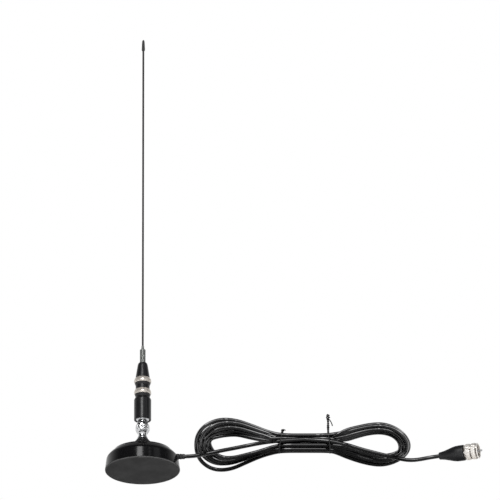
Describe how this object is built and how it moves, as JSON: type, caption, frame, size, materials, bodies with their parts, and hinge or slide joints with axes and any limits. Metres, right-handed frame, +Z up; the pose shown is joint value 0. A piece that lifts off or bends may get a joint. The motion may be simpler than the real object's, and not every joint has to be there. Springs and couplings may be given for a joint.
{
  "type": "omnidirectional mobile whip antenna",
  "caption": "Whip antenna with a loading coil and tilting knuckle on a round magnetic base, with a tied hank of coaxial cable and a screw-on plug.",
  "frame": {"origin": "centre of the bottom face of the magnetic base", "axes": "+Z up the whip; the feed cable leaves towards +X; -Y faces the clamp screw"},
  "size_m": [0.4516, 0.171, 0.56],
  "materials": {
    "gloss_black_shell": "gloss black enamel",
    "black_rubber_pad": "matt",
    "zinc_steel": "zinc plated",
    "ferrite": "sintered, matt",
    "black_hub": "moulded, semi gloss",
    "chrome": "bright plated",
    "brass": "turned",
    "nylon": "natural",
    "black_relief": "satin",
    "satin_black": "satin black anodised",
    "bright_nickel": "bright nickel",
    "cone_black": "moulded, satin",
    "copper": "enamelled",
    "grey_steel": "turned, satin",
    "dark_whip": "black plated spring steel",
    "tip_black": "satin",
    "cable_black": "glossy jacket",
    "tie_black": "satin",
    "silver_pin": "silver plated",
    "ptfe": "white"
  },
  "bodies": {
    "root": {"base_pad": "black_rubber_pad", "base_shell": "gloss_black_shell", "magnet_cup": "zinc_steel", "ring_magnet": "ferrite", "centre_pole": "zinc_steel", "mast_stud": "brass", "stud_bush": "nylon", "ground_lug": "brass", "centre_lug": "brass", "stud_nut": "brass", "hub_cone": "black_hub", "strain_relief": "black_relief", "cable_inner": "cable_black", "cable_clip": "zinc_steel", "knuckle_lower": "chrome", "tilt_washer": "chrome", "cable_lead": "cable_black", "cable_hank": "cable_black", "cable_tail": "cable_black", "tie_left": "tie_black", "tie_right": "tie_black", "plug_boot": "black_relief", "plug_body": "bright_nickel", "plug_dielectric": "ptfe", "plug_pin": "silver_pin"},
    "mast": {"knuckle_upper": "chrome", "coil_sleeve": "satin_black", "lower_spacer": "cone_black", "lower_ring": "bright_nickel", "middle_spacer": "cone_black", "upper_ring": "bright_nickel", "cone_cap": "cone_black", "coil_former": "nylon", "coil_winding": "copper", "whip_holder": "grey_steel", "grub_screws": "grey_steel"},
    "clamp_screw": {"clamp_screw": "chrome"},
    "whip": {"whip": "dark_whip", "whip_tip": "tip_black"},
    "coupling_ring": {"coupling_ring": "bright_nickel"}
  },
  "joints": [
    {"name": "tilt", "type": "hinge", "parent": "root", "child": "mast", "pos_m": [0, 0, 0.0547], "axis": [0, 1, 0], "range_deg": [-90, 90]},
    {"name": "clamp_turn", "type": "hinge", "parent": "root", "child": "clamp_screw", "pos_m": [0, -0.008, 0.0547], "axis": [0, 1, 0], "continuous": true},
    {"name": "whip_slide", "type": "slide", "parent": "mast", "child": "whip", "axis": [0, 0, 1], "range_m": [-0.008, 0.01]},
    {"name": "ring_turn", "type": "hinge", "parent": "root", "child": "coupling_ring", "pos_m": [0.39343, -0.03592, 0.0103], "axis": [0.9607, -0.2755, 0.0349], "continuous": true}
  ]
}
